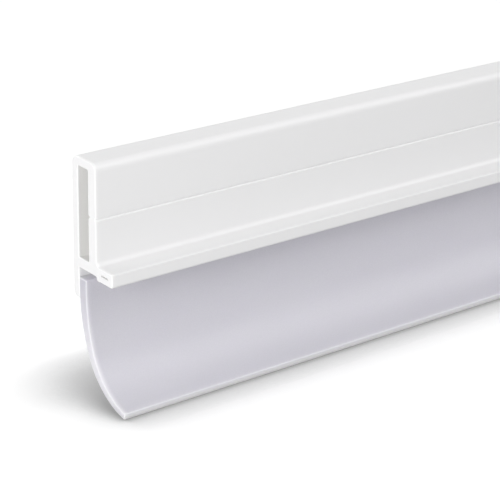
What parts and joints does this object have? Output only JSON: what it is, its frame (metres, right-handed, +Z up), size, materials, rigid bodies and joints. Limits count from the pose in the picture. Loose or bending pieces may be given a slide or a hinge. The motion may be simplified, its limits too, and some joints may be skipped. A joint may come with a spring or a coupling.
{
  "type": "silicone door bottom seal",
  "caption": "Door bottom seal: hollow white strip with a lipped ledge, fixed flat to a door, carrying a soft translucent blade that curls forward to sweep the floor and close the gap.",
  "frame": {"origin": "centre of the flat back face that goes against the door", "axes": "+X along the strip, +Y out of the back face towards the door, +Z up as installed"},
  "size_m": [0.914, 0.0178, 0.05],
  "materials": {
    "white_strip": "smooth white rigid PVC with a satin gloss",
    "milky_silicone": "smooth matt milky silicone with a faint lavender grey tint, slightly translucent"
  },
  "bodies": {
    "root": {"carrier": "white_strip", "sealing_blade": "milky_silicone"}
  },
  "joints": []
}
